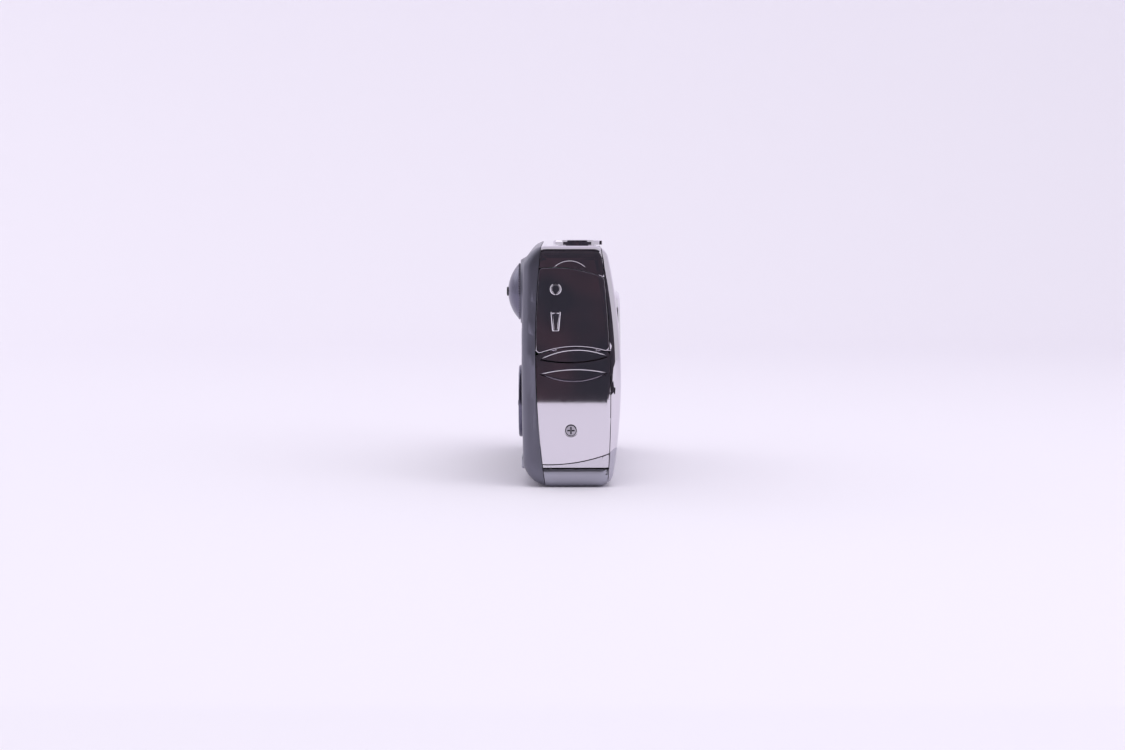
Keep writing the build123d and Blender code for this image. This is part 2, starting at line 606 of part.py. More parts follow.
def make_battery_terminals():
    """Three sprung contacts in the roof of the battery bay, each a block with a curved nose."""
    top = BATTERY_Z + BATTERY[2]
    with BuildPart() as contacts:
        with BuildSketch(Plane.XY.offset(top + REST_GAP)):
            with Locations((BATTERY_X + BATTERY[0] / 2, BATTERY_Y + BATTERY[1] / 2)):
                with GridLocations(4.0, 0, 3, 1):
                    Rectangle(1.2, 1.4)
        extrude(amount=2.4)
    return contacts.part


def make_memory_card():
    """Memory card with one cut corner."""
    with BuildPart() as card:
        add(pocket(CARD_AT, CARD, 0))
        chamfer(card.edges().filter_by(Axis.Y).group_by(Axis.Z)[-1].sort_by(Axis.X)[-1], 3.5)
    return card.part


keep(make_front_cover() - trunnions(TRUNNION_R + RUN), "front_cover")
keep(make_rear_cover() - trunnions(TRUNNION_R + RUN), "rear_cover")
door_relief = (bar_y(GRIP_X + HINGE_IN, HINGE_Z, DOOR_RELIEF_R, -FAR, DOOR_RELIEF_Y[0])
               + bar_y(GRIP_X + HINGE_IN, HINGE_Z, DOOR_RELIEF_R, DOOR_RELIEF_Y[1], FAR))
keep(make_side_panel() - door_relief, "side_panel")
keep(make_port_door(), "port_door")
keep(make_port_bezel(), "port_bezel")
keep(make_av_jack(), "av_jack")
keep(make_usb_socket(), "usb_socket")
keep(make_battery_door(), "battery_door")
keep(make_door_slide(), "door_slide")
keep(make_hinge_pin(), "door_hinge_pin")
keep(make_battery_holder(), "battery_holder")
keep(make_battery(), "battery")
keep(make_battery_terminals(), "battery_terminals")
keep(make_memory_card(), "memory_card")


# ---- lens ---------------------------------------------------------------------------------------------------
HOUSING_BACK = 4.3


def lens_disc(radius, low_y, high_y):
    """A round plate about the lens axis."""
    return bar_y(LENS_X, LENS_Z, radius, low_y, high_y)


def lens_tube(radius, hole, low_y, high_y):
    """A tube about the lens axis."""
    return lens_disc(radius, low_y, high_y) - lens_disc(hole, low_y - 1, high_y + 1)


def toothed(x, z, teeth, low_y, high_y, turn):
    """A spur gear's blank with its teeth: flat-sided teeth, narrower than the gaps between them."""
    pitch_r = GEAR_MODULE * teeth / 2
    root, tip = pitch_r - 0.9 * GEAR_MODULE, pitch_r + 0.7 * GEAR_MODULE
    with BuildPart() as gear:
        with BuildSketch(Plane.XZ.offset(-high_y)):
            with Locations((x, z)):
                Circle(root)
                with PolarLocations((root + tip) / 2 - 0.1, teeth, start_angle=turn):
                    Rectangle(tip - root + 0.2, 0.32 * pi * GEAR_MODULE)
        extrude(amount=high_y - low_y)
    return gear.part


PINION_REACH = GEAR_MODULE * (RING_TEETH + PINION_TEETH) / 2
PINION_X = LENS_X + PINION_REACH * cos(radians(PINION_ANGLE))
PINION_Z = LENS_Z + PINION_REACH * sin(radians(PINION_ANGLE))
GEAR_Y, MOTOR_R = 1.2, 3.6
HOUSING_FRONT = FRONT_INSIDE + REST_GAP


def make_lens_housing():
    """Drum that carries the lens, with a window for the pinion and a seat for the motor."""
    with BuildPart() as drum:
        add(lens_tube(HOUSING_R, HOUSING_R - HOUSING_WALL, HOUSING_FRONT, HOUSING_BACK))
        add(lens_tube(HOUSING_R, 5.0, HOUSING_BACK - 0.8, HOUSING_BACK))
        add(lens_tube(HOUSING_R, OUTER_R + SLIDE_GAP, HOUSING_FRONT, HOUSING_FRONT + 0.9))
        window = bar_y(PINION_X, PINION_Z, GEAR_MODULE * PINION_TEETH / 2 + 0.9,
                       GEAR_Y - 2.5, GEAR_Y + GEAR_WIDTH + 0.5)
        add(window, mode=Mode.SUBTRACT)
    return drum.part


def make_cam_ring():
    """Toothed ring that turns inside the drum and drives the barrels."""
    with BuildPart() as ring:
        add(lens_tube(CAM_R, CAM_IN_R, HOUSING_FRONT + 1.1, HOUSING_BACK - 1.0))
        add(toothed(LENS_X, LENS_Z, RING_TEETH, GEAR_Y, GEAR_Y + GEAR_WIDTH, 0))
        add(lens_disc(CAM_IN_R, -FAR, FAR), mode=Mode.SUBTRACT)
    return ring.part


def make_zoom_pinion():
    """Pinion on its shaft, in mesh with the toothed ring."""
    half_pitch = 180 / PINION_TEETH
    facing = PINION_ANGLE + 180
    offset_turns = (PINION_ANGLE * RING_TEETH / 360) % 1
    turn = facing + half_pitch + offset_turns * 360 / PINION_TEETH
    with BuildPart() as pinion:
        add(toothed(PINION_X, PINION_Z, PINION_TEETH, GEAR_Y, GEAR_Y + GEAR_WIDTH, turn))
        add(bar_y(PINION_X, PINION_Z, 0.5, GEAR_Y - 2.0, GEAR_Y + GEAR_WIDTH))
    return pinion.part


def make_zoom_motor():
    """Small motor behind the front cover, in line with the pinion, with a bore for its shaft."""
    with BuildPart() as motor:
        front = surface_y(PINION_X, PINION_Z - MOTOR_R, True) + WALL + REST_GAP
        can = bar_y(PINION_X, PINION_Z, MOTOR_R, front, GEAR_Y - 0.7)
        add(can - lens_disc(HOUSING_R + REST_GAP, -FAR, FAR))
        add(bar_y(PINION_X, PINION_Z, 0.5 + RUN, GEAR_Y - 2.2, FAR), mode=Mode.SUBTRACT)
    return motor.part


def make_outer_barrel():
    """First barrel: slides out of the drum."""
    with BuildPart() as barrel:
        add(lens_tube(OUTER_R, OUTER_R - BARREL_WALL, LENS_FRONT + 0.7, HOUSING_BACK - 1.2))
        add(lens_tube(OUTER_R, INNER_R + SLIDE_GAP, LENS_FRONT + 0.7, LENS_FRONT + 1.4))
    return barrel.part


def make_inner_barrel():
    """Second barrel: slides out of the first; its front wall has the round opening in front of the blades."""
    back = HOUSING_BACK - 1.4
    with BuildPart() as barrel:
        add(lens_tube(INNER_R, INNER_R - BARREL_WALL, LENS_FRONT + 0.4, back))
        add(lens_tube(INNER_R, APERTURE_R, LENS_FRONT + 0.4, LENS_FRONT + 0.9))
        seat_y = BLADES_Y + 2 * BLADE_T
        add(lens_tube(INNER_R, FRONT_GLASS_R + 0.15, seat_y + 0.35, seat_y + 3.0))
        for side in (-1, 1):
            pin = bar_y(LENS_X + side * BLADE_PIVOT[0], LENS_Z + side * BLADE_PIVOT[1], 0.35,
                        LENS_FRONT + 0.6, BLADES_Y + 2 * BLADE_T + 1)
            add(pin)
    return barrel.part


BLADES_Y = LENS_FRONT + 1.0
BLADE_SPLIT = 0.1


def make_blade(side, low_y):
    """One half of the lens barrier: a half disc with an arm to its pivot."""
    pivot = (LENS_X + side * BLADE_PIVOT[0], LENS_Z + side * BLADE_PIVOT[1])
    with BuildPart() as blade:
        with BuildSketch(Plane.XZ.offset(-low_y - BLADE_T)):
            with Locations((LENS_X, LENS_Z)):
                Circle(BLADE_R)
            with Locations((LENS_X, LENS_Z - side * BLADE_R)):
                Rectangle(3 * BLADE_R, 2 * BLADE_R + BLADE_SPLIT, mode=Mode.SUBTRACT)
            with Locations(pivot):
                Circle(0.9)
            with Locations(((pivot[0] + LENS_X + side * 3.4) / 2, pivot[1])):
                Rectangle(pivot[0] - LENS_X - side * 3.4 if side > 0 else LENS_X - 3.4 - pivot[0], 1.5)
            with Locations(pivot):
                Circle(0.35 + RUN, mode=Mode.SUBTRACT)
        extrude(amount=BLADE_T)
    return blade.part


def make_front_glass():
    """Front element: bulged forwards, flat behind."""
    back = BLADES_Y + 2 * BLADE_T + 0.35 + FRONT_GLASS_T
    with BuildPart() as glass:
        add(lens_disc(FRONT_GLASS_R, back - FRONT_GLASS_T + 0.4, back))
        ball_r = 14.0
        with Locations((LENS_X, back - FRONT_GLASS_T + 0.1 + ball_r, LENS_Z)):
            Sphere(ball_r, mode=Mode.INTERSECT)
    return glass.part


def make_lens_ring():
    """Trim ring round the lens, seated in the front cover."""
    with BuildPart() as ring:
        add(lens_tube(RING_R, RING_IN_R, LENS_FRONT, HOUSING_FRONT - REST_GAP / 2))
        chamfer(ring.edges().filter_by(GeomType.CIRCLE).group_by(Axis.Y)[0], 0.5)
    return ring.part


def make_image_sensor():
    """Sensor package on the back wall of the lens drum."""
    with BuildPart() as sensor:
        add(panel_y(LENS_X, LENS_Z, 9.0, 9.0, HOUSING_BACK + 0.05, HOUSING_BACK + 1.3, 0.5))
    return sensor.part


# ---- frame, boards and electronics --------------------------------------------------------------------------
BOARD_FRONT = HOUSING_BACK + 1.5
BOARD_BACK = BOARD_FRONT + BOARD_T
BOARD_X, BOARD_Z = (-37.0, 39.0), (8.5, 42.5)
SCREEN_BACK = SCREEN_Y - 1.35


def make_chassis():
    """Sheet-metal frame: a wall behind the screen, a foot to the tripod socket and a flange for the side screw."""
    with BuildPart() as frame:
        add(block((-38.0, BOARD_BACK + 0.3, 9.0), (39.0, BOARD_BACK + 0.3 + CHASSIS_T, 42.0)))
        add(block((INSIDE_GRIP + 0.1, -5.0, 9.5), (INSIDE_GRIP + 1.3, BOARD_BACK + 1.0, 17.5)))
        add(block((INSIDE_GRIP + 0.1, BOARD_BACK + 0.3, 9.5), (-37.0, BOARD_BACK + 1.0, 17.5)))
        add(block((FAR_X - WALL - 1.3, -5.0, 9.5), (FAR_X - WALL - 0.1, BOARD_BACK + 1.0, 17.5)))
        add(block((38.0, BOARD_BACK + 0.3, 9.5), (FAR_X - WALL - 0.1, BOARD_BACK + 1.0, 17.5)))
        for low_x, high_x in ((-FAR, -38.5), (39.5, FAR)):
            add(bar_x(SIDE_SCREW_Y, SIDE_SCREW_Z, SCREW_R + 0.02, low_x, high_x), mode=Mode.SUBTRACT)
    return frame.part


def make_main_board():
    """Main circuit board with its chips."""
    with BuildPart() as board:
        add(block((BOARD_X[0], BOARD_FRONT, BOARD_Z[0]), (BOARD_X[1], BOARD_BACK, BOARD_Z[1])))
        for x, z, size in ((32.5, 30.0, 8.0), (33.0, 18.0, 6.0), (-1.0, 13.0, 4.5)):
            low, high = (x - size / 2, BOARD_FRONT - 1.0, z - size / 2), (x + size / 2, BOARD_FRONT, z + size / 2)
            add(block(low, high))
        add(panel_y(LENS_X, LENS_Z, 9.2, 9.2, 0, BOARD_FRONT, 0.5), mode=Mode.SUBTRACT)
    return board.part


def make_screen_panel():
    """Liquid-crystal module in its frame."""
    low = BOARD_BACK + 0.3 + CHASSIS_T + 0.1
    return panel_y(SCREEN_X, SCREEN_Z, SCREEN_W - 2, SCREEN_H - 2, low, low + SCREEN_T, 0.6)


def make_screen_window():
    """Clear window, flush in the rear cover."""
    with BuildPart() as window:
        add(panel_y(SCREEN_X, SCREEN_Z, SCREEN_W, SCREEN_H, SCREEN_BACK, FAR, 1.5))
        add(outer, mode=Mode.INTERSECT)
    return window.part


def make_flash_board():
    """Board that carries the flash capacitor."""
    x = CAPACITOR_X
    face = CAPACITOR_Y + CAPACITOR_R + 0.1
    return block((x - 5.0, face, 9.0), (x + 5.0, face + 0.8, 44.0))


def make_flash_capacitor():
    """Flash capacitor, standing behind the far end."""
    with BuildPart() as can:
        add(disc_z(CAPACITOR_X, CAPACITOR_Y, CAPACITOR_R, 9.0, 41.0))
        fillet(can.faces().filter_by(Axis.Z).edges(), 0.6)
    return can.part


FLASH_BACK = -3.2


def pane_back(x, z, height):
    """Rear face of a pane in the front cover: the cover's inner face at the pane's upper edge."""
    return surface_y(x, z + height / 2, True) + WALL


FLASH_FRONT = pane_back(FLASH_X, FLASH_Z, FLASH_H) + REST_GAP


def make_flash_reflector():
    """Trough of bright sheet round the flash tube."""
    with BuildPart() as trough:
        add(block((FLASH_X - FLASH_W / 2, FLASH_FRONT, FLASH_Z - FLASH_H / 2),
                  (FLASH_X + FLASH_W / 2, FLASH_BACK, FLASH_Z + FLASH_H / 2)))
        add(block((FLASH_X - FLASH_W / 2 + 0.5, -FAR, FLASH_Z - FLASH_H / 2 + 0.5),
                  (FLASH_X + FLASH_W / 2 - 0.5, FLASH_BACK - 0.5, FLASH_Z + FLASH_H / 2 - 0.5)), mode=Mode.SUBTRACT)
    return trough.part


def make_flash_tube():
    """Flash tube, end to end in its trough."""
    return bar_x(FLASH_BACK - 1.7, FLASH_Z, 1.1, FLASH_X - FLASH_W / 2 + 0.55, FLASH_X + FLASH_W / 2 - 0.55)


def front_pane(x, z, width, height, corner):
    """A clear pane, flush in the front cover."""
    with BuildPart() as pane:
        add(panel_y(x, z, width, height, -FAR, pane_back(x, z, height), corner))
        add(outer, mode=Mode.INTERSECT)
    return pane.part


def make_viewfinder():
    """Finder tube from the front pane to the eyepiece."""
    with BuildPart() as tube:
        low, high = pane_back(FINDER_X, FINDER_Z, FINDER_H) + REST_GAP, EYE_BACK - REST_GAP
        add(block((FINDER_X - FINDER_W / 2, low, FINDER_Z - FINDER_H / 2),
                  (FINDER_X + FINDER_W / 2, high, FINDER_Z + FINDER_H / 2)))
        add(block((FINDER_X - FINDER_W / 2 + 0.7, -FAR, FINDER_Z - FINDER_H / 2 + 0.7),
                  (FINDER_X + FINDER_W / 2 - 0.7, FAR, FINDER_Z + FINDER_H / 2 - 0.7)), mode=Mode.SUBTRACT)
    return tube.part


EYE_BACK = REAR_INSIDE - 0.4


def make_eyepiece():
    """Clear eyepiece, a little proud of the rear cover."""
    face = surface_y(FINDER_X, FINDER_Z, False)
    return panel_y(FINDER_X, FINDER_Z, EYEPIECE_W, EYEPIECE_H, EYE_BACK, face + 0.5, 1.0)


def make_tripod_socket():
    """Threaded steel socket under the lens."""
    with BuildPart() as socket:
        add(disc_z(LENS_X, SOCKET_Y, SOCKET_LIP_R, 0.1, WALL + 0.1))
        add(disc_z(LENS_X, SOCKET_Y, SOCKET_BODY_R, WALL + 0.1, SOCKET_DEPTH + 1.0))
        add(disc_z(LENS_X, SOCKET_Y, SOCKET_R, -1, SOCKET_DEPTH), mode=Mode.SUBTRACT)
    return socket.part


def make_speaker():
    """Small round speaker under the slots in the top cover."""
    return disc_z(SPEAKER_X, 0, 4.5, INSIDE_TOP - 2.6, INSIDE_TOP - 0.1)


for made, name in (
    (make_lens_housing(), "lens_housing"), (make_cam_ring(), "cam_ring"), (make_zoom_pinion(), "zoom_pinion"),
    (make_zoom_motor(), "zoom_motor"), (make_outer_barrel(), "outer_barrel"), (make_inner_barrel(), "inner_barrel"),
    (make_blade(1, BLADES_Y), "barrier_blade_upper"), (make_blade(-1, BLADES_Y), "barrier_blade_lower"),
    (make_front_glass(), "front_lens"), (make_lens_ring(), "lens_ring"), (make_image_sensor(), "image_sensor"),
    (make_chassis(), "chassis"), (make_main_board(), "main_board"), (make_screen_panel(), "screen_panel"),
    (make_screen_window(), "screen_window"), (make_flash_board(), "flash_board"),
    (make_flash_capacitor(), "flash_capacitor"), (make_flash_reflector(), "flash_reflector"),
    (make_flash_tube(), "flash_tube"), (front_pane(FLASH_X, FLASH_Z, FLASH_W, FLASH_H, 1.0), "flash_window"),
    (front_pane(FINDER_X, FINDER_Z, FINDER_W, FINDER_H, 1.0), "finder_window"), (make_viewfinder(), "viewfinder"),
    (make_eyepiece(), "eyepiece"), (make_tripod_socket(), "tripod_socket"), (make_speaker(), "speaker"),
):
    keep(made, name)


# ---- controls -----------------------------------------------------------------------------------------------
DIAL_RIM, DIAL_STANDOFF = 0.35, 0.1
DIAL_INSIDE = DIAL_Y - DIAL_BOSS_H - WALL
KEY_BOARD_BACK = BOARD_BACK + 0.3 + CHASSIS_T + 0.1 + 0.5
CARRIER_Y = KEY_BOARD_BACK + 0.45
CARRIER_T = 0.5
ROCK_RIB_R = 0.25  # round ribs that the carrier and the ring rock on
RING_LOW = CARRIER_Y + CARRIER_T + 0.5
KEY_LOW = KEY_BOARD_BACK + 0.55


def make_mode_dial():
    """Domed dial on its shaft, held by a collar inside the rear cover."""
    base, rise = DIAL_Y + DIAL_STANDOFF, DIAL_H - DIAL_RIM
    ball_r = (DIAL_R**2 + rise**2) / (2 * rise)
    with BuildPart() as dial:
        add(bar_y(DIAL_X, DIAL_Z, DIAL_R, base, base + DIAL_H))
        with Locations((DIAL_X, base + DIAL_H - ball_r, DIAL_Z)):
            Sphere(ball_r, mode=Mode.INTERSECT)
        add(bar_y(DIAL_X, DIAL_Z, DIAL_SHAFT_R, DIAL_INSIDE - 1.0, base + 0.5))
        add(bar_y(DIAL_X, DIAL_Z, DIAL_SHAFT_R + 1.1, DIAL_INSIDE - 1.0, DIAL_INSIDE - 0.25))
        add(bar_y(DIAL_X, DIAL_Z, DIAL_CAP_R, base + DIAL_H - 0.5, FAR), mode=Mode.SUBTRACT)
    return dial.part


def make_dial_cap():
    """Small dark stud in the middle of the dial."""
    top = DIAL_Y + DIAL_STANDOFF + DIAL_H
    with BuildPart() as cap:
        add(bar_y(DIAL_X, DIAL_Z, DIAL_CAP_R, top - 0.5, top + DIAL_CAP_H))
        chamfer(cap.faces().sort_by(Axis.Y)[-1].edges(), 0.12)
    return cap.part


def make_pad_carrier():
    """Disc under the control ring, which rocks up and down on a round rib."""
    with BuildPart() as carrier:
        add(bar_y(PAD_X, PAD_Z, PAD_R - 1.0, CARRIER_Y, CARRIER_Y + CARRIER_T))
        add(bar_x(CARRIER_Y, PAD_Z, ROCK_RIB_R, PAD_X - PAD_R + 2, PAD_X + PAD_R - 2))
    return carrier.part


def make_control_ring():
    """Ring round the set button, pressed at four places."""
    with BuildPart() as ring:
        add(bar_y(PAD_X, PAD_Z, PAD_R, RING_LOW, PAD_Y + PAD_PROUD))
        fillet(ring.faces().sort_by(Axis.Y)[-1].edges(), 0.45)
        add(disc_z(PAD_X, RING_LOW, ROCK_RIB_R, PAD_Z - PAD_R + 2, PAD_Z + PAD_R - 2))
        add(bar_y(PAD_X, PAD_Z, PAD_IN_R, -FAR, FAR), mode=Mode.SUBTRACT)
    return ring.part


def make_set_button():
    """Round button in the middle of the ring."""
    with BuildPart() as button:
        add(bar_y(PAD_X, PAD_Z, SET_R, RING_LOW + 0.15, PAD_Y + PAD_PROUD - 0.25))
        fillet(button.faces().sort_by(Axis.Y)[-1].edges(), 0.3)
    return button.part


def make_key(x):
    """One of the two long keys under the ring."""
    with BuildPart() as key:
        add(panel_y(x, KEY_Z, KEY_L, KEY_W, KEY_LOW, KEY_Y + KEY_PROUD, 1.0))
        fillet(key.faces().sort_by(Axis.Y)[-1].edges(), 0.25)
    return key.part


def make_print_button():
    """Small round button over the ring."""
    with BuildPart() as button:
        add(bar_y(PRINT_X, PRINT_Z, PRINT_R, KEY_LOW, PRINT_Y + KEY_PROUD))
        fillet(button.faces().sort_by(Axis.Y)[-1].edges(), 0.25)
    return button.part


def make_key_board():
    """Switch board under the ring and the keys."""
    return block((-40.5, KEY_BOARD_BACK - 0.5, 4.2), (-18.0, KEY_BOARD_BACK, 37.0))


def make_zoom_ring():
    """Zoom ring: a flat collar with a ribbed lug in front, on a neck that turns in the top cover."""
    with BuildPart() as ring:
        add(disc_z(ZOOM_X, ZOOM_Y, ZOOM_R, HEIGHT + 0.1, HEIGHT + ZOOM_H))
        chamfer(ring.faces().sort_by(Axis.Z)[-1].edges(), 0.3)
        for i in range(-2, 3):
            with BuildSketch(Plane.XY.offset(HEIGHT + 0.1)):
                with Locations((ZOOM_X + i * 0.75, ZOOM_Y - ZOOM_R + 0.1)):
                    Circle(0.32)
            extrude(amount=ZOOM_H - 0.2)
        add(disc_z(ZOOM_X, ZOOM_Y, ZOOM_NECK_R, TOP_BOARD_Z + 0.9, HEIGHT + 0.5))
        add(disc_z(ZOOM_X, ZOOM_Y, ZOOM_IN_R, 0, FAR), mode=Mode.SUBTRACT)
    return ring.part


def make_shutter_button():
    """Shutter button inside the zoom ring, with its stem."""
    with BuildPart() as button:
        add(disc_z(ZOOM_X, ZOOM_Y, SHUTTER_R, HEIGHT - 1.0, HEIGHT + ZOOM_H - 0.1))
        fillet(button.faces().sort_by(Axis.Z)[-1].edges(), 0.4)
        add(disc_z(ZOOM_X, ZOOM_Y, 1.2, TOP_BOARD_Z + TOP_BOARD_T + SHUTTER_TRAVEL + 0.1, HEIGHT - 0.5))
    return button.part


SHUTTER_TRAVEL = 1.0


def make_power_button():
    """Power button in the top cover."""
    with BuildPart() as button:
        low = TOP_BOARD_Z + TOP_BOARD_T + POWER_TRAVEL + REST_GAP
        add(disc_z(POWER_X, 0, POWER_R, low, HEIGHT + 0.3))
        fillet(button.faces().sort_by(Axis.Z)[-1].edges(), 0.2)
    return button.part


def make_top_board():
    """Switch board under the top cover."""
    return block((-37.5, -5.2, TOP_BOARD_Z), (-9.5, 5.2, TOP_BOARD_Z + TOP_BOARD_T))


def make_case_screws():
    """One cross-head screw through each end panel into the frame."""
    seat = WIDTH / 2 - SCREW_SEAT_DEPTH
    ends = (Plane((-seat, SIDE_SCREW_Y, SIDE_SCREW_Z), z_dir=(-1, 0, 0)),
            Plane((seat, SIDE_SCREW_Y, SIDE_SCREW_Z), z_dir=(1, 0, 0)))
    return Compound([end * screw(SCREW_LENGTH) for end in ends])


for made, name in (
    (make_mode_dial(), "mode_dial"), (make_dial_cap(), "dial_cap"), (make_pad_carrier(), "pad_carrier"),
    (make_control_ring(), "control_ring"), (make_set_button(), "set_button"),
    (make_key(KEY_X[0]), "menu_button"), (make_key(KEY_X[1]), "display_button"),
    (make_print_button(), "print_button"), (make_key_board(), "key_board"), (make_zoom_ring(), "zoom_ring"),
    (make_shutter_button(), "shutter_button"), (make_power_button(), "power_button"),
    (make_top_board(), "top_board"), (make_battery_latch(), "battery_latch"),
    (bar_y(LAMP_X, LAMP_Z, LAMP_R, -FAR, pane_back(LAMP_X, LAMP_Z, 2 * LAMP_R)) & outer, "focus_lamp"),
    (make_case_screws(), "case_screws"),
):
    keep(made, name)
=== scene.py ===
"""Looks of the pocket camera: finishes, raised marks and studio."""

import json
from math import atan2, cos, pi, radians, sin

import bmesh
import bpy
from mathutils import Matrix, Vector


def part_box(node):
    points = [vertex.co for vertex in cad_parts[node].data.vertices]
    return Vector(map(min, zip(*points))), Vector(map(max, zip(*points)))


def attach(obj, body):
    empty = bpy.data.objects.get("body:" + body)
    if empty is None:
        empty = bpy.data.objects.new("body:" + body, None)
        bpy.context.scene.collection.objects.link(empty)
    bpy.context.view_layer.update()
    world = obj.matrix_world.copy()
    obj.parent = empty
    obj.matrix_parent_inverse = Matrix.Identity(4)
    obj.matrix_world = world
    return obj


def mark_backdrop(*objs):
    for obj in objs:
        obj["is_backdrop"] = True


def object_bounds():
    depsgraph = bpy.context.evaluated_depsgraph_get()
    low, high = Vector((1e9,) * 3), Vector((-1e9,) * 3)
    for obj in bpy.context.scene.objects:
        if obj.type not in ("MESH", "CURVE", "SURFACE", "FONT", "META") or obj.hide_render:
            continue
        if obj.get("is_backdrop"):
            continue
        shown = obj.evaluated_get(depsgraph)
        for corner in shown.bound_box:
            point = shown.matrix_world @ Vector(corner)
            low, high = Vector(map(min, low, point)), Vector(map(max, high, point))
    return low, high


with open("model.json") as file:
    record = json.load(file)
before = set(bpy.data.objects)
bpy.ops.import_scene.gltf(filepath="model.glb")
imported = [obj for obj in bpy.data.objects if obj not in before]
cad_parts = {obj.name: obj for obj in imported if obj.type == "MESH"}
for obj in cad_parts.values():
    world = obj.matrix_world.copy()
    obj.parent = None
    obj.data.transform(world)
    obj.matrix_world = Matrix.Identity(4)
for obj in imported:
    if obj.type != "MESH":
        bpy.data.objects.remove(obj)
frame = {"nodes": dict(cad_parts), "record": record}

bl_info = {
    "name": "Pocket camera looks",
    "version": (1, 0, 0),
    "blender": (4, 5, 0),
    "location": "3D View > Sidebar > Pocket camera",
    "description": "Finishes, raised marks and a studio for the packed camera",
    "category": "Object",
}

MM = 0.001


class PocketCameraSettings(bpy.types.PropertyGroup):
    """Sizes and colours of the finish and of the studio."""

    mark_height: bpy.props.FloatProperty(
        name="Mark height", description="How far a raised mark stands out", default=0.2 * MM, unit="LENGTH")
    mark_line: bpy.props.FloatProperty(
        name="Mark line", description="Width of a raised outline", default=0.55 * MM, unit="LENGTH")
    rib_count: bpy.props.IntProperty(
        name="Dial ribs", description="Ribs round the rim of the mode dial", default=72, min=12, max=200)
    rib_radius: bpy.props.FloatProperty(
        name="Rib radius", description="Radius of one rib of the mode dial", default=0.17 * MM, unit="LENGTH")
    edge_round: bpy.props.FloatProperty(
        name="Edge rounding", description="Rounding on the sharp edges of the covers", default=0.12 * MM,
        unit="LENGTH")
    chrome: bpy.props.FloatVectorProperty(
        name="Chrome", description="Colour of the polished covers", default=(0.72, 0.69, 0.74), size=3,
        subtype="COLOR")
    paint: bpy.props.FloatVectorProperty(
        name="Paint", description="Colour of the rear cover", default=(0.165, 0.163, 0.205), size=3,
        subtype="COLOR")
    backdrop: bpy.props.FloatVectorProperty(
        name="Backdrop", description="Colour of the sweep", default=(0.87, 0.84, 0.905), size=3,
        subtype="COLOR")
    lens_mm: bpy.props.FloatProperty(name="Focal length", description="Of the studio's camera", default=69.6)
    distance: bpy.props.FloatProperty(
        name="Distance", description="From the grip end to the studio's camera", default=500 * MM,
        unit="LENGTH")


def settings():
    return bpy.context.scene.pocket_camera


# ---- meshes -------------------------------------------------------------------------------------------------
def mesh_object(name, bm):
    """Makes an object of a bmesh, with its normals outwards."""
    bmesh.ops.recalc_face_normals(bm, faces=bm.faces)
    mesh = bpy.data.meshes.new(name)
    bm.to_mesh(mesh)
    bm.free()
    made = bpy.data.objects.new(name, mesh)
    bpy.context.scene.collection.objects.link(made)
    return made


def raised_band(name, outer, inner, lift):
    """A raised outline with sloping sides between two closed loops; lift is its height as a vector."""
    bm = bmesh.new()
    loops = []
    for share, raised in ((0.0, 0), (0.38, 1), (0.62, 1), (1.0, 0)):
        loops.append([bm.verts.new(a.lerp(b, share) + lift * raised) for a, b in zip(outer, inner)])
    count = len(outer)
    for low, high in zip(loops, loops[1:] + loops[:1]):
        for i in range(count):
            j = (i + 1) % count
            bm.faces.new((low[i], low[j], high[j], high[i]))
    return mesh_object(name, bm)


def raised_plate(name, points, lift):
    """A raised flat mark with one closed outline."""
    bm = bmesh.new()
    low = [bm.verts.new(p) for p in points]
    high = [bm.verts.new(p + lift) for p in points]
    bm.faces.new(low)
    bm.faces.new(list(reversed(high)))
    for i in range(len(points)):
        j = (i + 1) % len(points)
        bm.faces.new((low[i], low[j], high[j], high[i]))
    return mesh_object(name, bm)


def rod_along(name, points, radius, sides=12):
    """A round rod through points in one plane across the grip end, with rounded-off ends."""
    bm = bmesh.new()
    rings = []
    for i, point in enumerate(points):
        ahead = (points[min(i + 1, len(points) - 1)] - points[max(i - 1, 0)]).normalized()
        side = ahead.cross(Vector((1, 0, 0))).normalized()
        share = i / (len(points) - 1)
        thick = radius * min(1.0, 4.5 * sin(pi * min(max(share, 0.01), 0.99)))
        ring = [point + (Vector((1, 0, 0)) * cos(2 * pi * k / sides) + side * sin(2 * pi * k / sides)) * thick
                for k in range(sides)]
        rings.append([bm.verts.new(p) for p in ring])
    for near_ring, far_ring in zip(rings, rings[1:]):
        for k in range(sides):
            j = (k + 1) % sides
            bm.faces.new((near_ring[k], near_ring[j], far_ring[j], far_ring[k])).smooth = True
    bm.faces.new(rings[0])
    bm.faces.new(list(reversed(rings[-1])))
    return mesh_object(name, bm)


def circle(radius, count=48):
    return [(radius * cos(2 * pi * i / count), radius * sin(2 * pi * i / count)) for i in range(count)]


def round_corners(corners, radius, steps=6):
    """Rounds a convex outline given counter-clockwise."""
    out = []
    for i, corner in enumerate(corners):
        here = Vector(corner)
        before = (Vector(corners[i - 1]) - here).normalized()
        after = (Vector(corners[(i + 1) % len(corners)]) - here).normalized()
        half = before.angle(after) / 2
        middle = here + (before + after).normalized() * radius / sin(half)
        start = here + before * radius / (sin(half) / cos(half)) - middle
        end = here + after * radius / (sin(half) / cos(half)) - middle
        a0, turn = atan2(start.y, start.x), start.angle_signed(end)
        for k in range(steps + 1):
            a = a0 - turn * k / steps
            out.append((middle.x + radius * cos(a), middle.y + radius * sin(a)))
    return out


